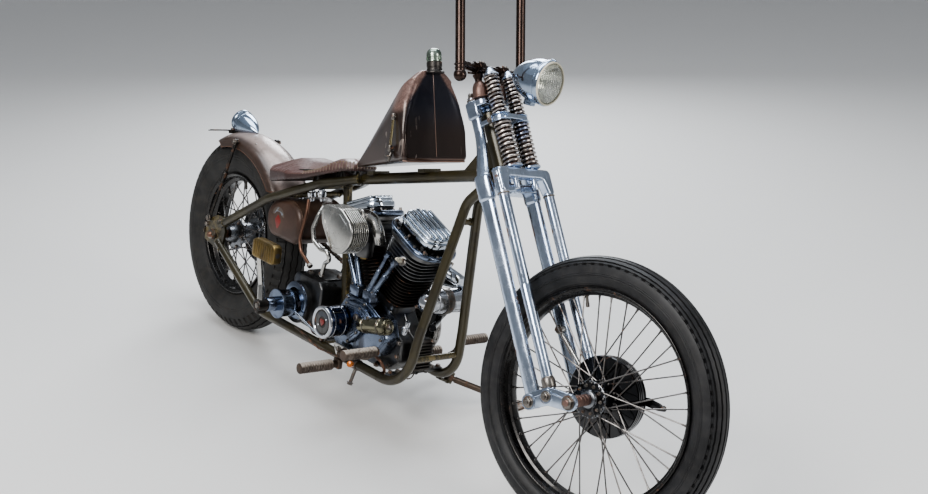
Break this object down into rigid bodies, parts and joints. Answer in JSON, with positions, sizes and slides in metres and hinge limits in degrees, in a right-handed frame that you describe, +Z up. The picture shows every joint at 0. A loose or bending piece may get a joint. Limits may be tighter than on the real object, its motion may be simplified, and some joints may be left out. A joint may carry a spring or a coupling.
{
  "type": "chopper motorcycle",
  "caption": "Rigid-frame V-twin chopper motorcycle with a springer fork, leaning on its side stand; wheels turn, the fork steers and the stand folds.",
  "frame": {"origin": "on the floor below the middle of the parked machine's box", "axes": "+X forward along the machine, +Y to the rider's left, +Z up"},
  "size_m": [2.3283, 0.6768, 1.4492],
  "materials": {
    "frame_paint": "aged gloss",
    "tank_paint": "aged satin patina",
    "fender_paint": "worn satin",
    "chrome": "polished, light rust",
    "fork_chrome": "pitted",
    "dark_steel": "rusty",
    "rusty_steel": "rusty",
    "bar_paint": "aged gloss",
    "case_alloy": "polished",
    "barrel_iron": "satin",
    "drum_blue": "gloss",
    "primary_tin": "satin",
    "tyre": "matt",
    "saddle": "worn",
    "glass": "clear",
    "red_lens": "gloss",
    "copper": "worn",
    "peg_rubber": "worn"
  },
  "bodies": {
    "chassis": {"frame_backbone": "frame_paint", "frame_downtubes": "frame_paint", "frame_rails": "frame_paint", "frame_stays": "frame_paint", "frame_crossmembers": "frame_paint", "rear_axle": "copper", "crankcase": "case_alloy", "gear_case": "case_alloy", "timer_drum": "drum_blue", "pushrod_tubes": "chrome", "cylinders": "barrel_iron", "cylinder_heads": "case_alloy", "rocker_covers": "chrome", "generator": "chrome", "carburettor": "case_alloy", "air_cleaner": "chrome", "exhaust_pipes": "chrome", "voltage_regulator": "dark_steel", "primary_cover": "primary_tin", "transmission": "case_alloy", "kick_starter": "copper", "oil_tank": "fender_paint", "fuel_tank": "tank_paint", "fuel_cap": "chrome", "seat_pan": "dark_steel", "seat": "saddle", "rear_fender": "fender_paint", "tail_light": "chrome", "tail_light_lens": "red_lens", "plate_bracket": "dark_steel", "foot_pegs": "peg_rubber", "foot_controls": "rusty_steel", "drive_chain": "dark_steel"},
    "fork": {"rigid_fork": "fork_chrome", "sprung_fork": "fork_chrome", "fork_springs": "fork_chrome", "fork_rockers": "fork_chrome", "front_axle": "copper", "front_brake_plate": "dark_steel", "handlebars": "bar_paint", "headlight": "chrome", "headlight_lens": "glass"},
    "front_wheel": {"front_tyre": "tyre", "front_rim": "dark_steel", "front_hub": "case_alloy", "front_spokes": "rusty_steel"},
    "rear_wheel": {"rear_tyre": "tyre", "rear_rim": "dark_steel", "rear_hub": "case_alloy", "rear_spokes": "rusty_steel", "rear_sprocket": "dark_steel"},
    "side_stand": {"side_stand": "dark_steel"}
  },
  "joints": [
    {"name": "steering", "type": "hinge", "parent": "chassis", "child": "fork", "pos_m": [0.7263, -0.05021, 0.28282], "axis": [-0.5228, 0.1654, 0.8362], "range_deg": [-40.7, 19.3]},
    {"name": "front_wheel_spin", "type": "hinge", "parent": "fork", "child": "front_wheel", "pos_m": [0.82011, -0.01861, 0.33521], "axis": [-0.1585, 0.945, -0.2861], "continuous": true},
    {"name": "rear_wheel_spin", "type": "hinge", "parent": "chassis", "child": "rear_wheel", "pos_m": [-0.82924, -0.04134, 0.32984], "axis": [-0.0003, 0.981, -0.1942], "continuous": true},
    {"name": "side_stand_fold", "type": "hinge", "parent": "chassis", "child": "side_stand", "pos_m": [0.15546, 0.05732, 0.11624], "axis": [-0.0838, 0.5898, 0.8032], "range_deg": [0, 100]}
  ]
}
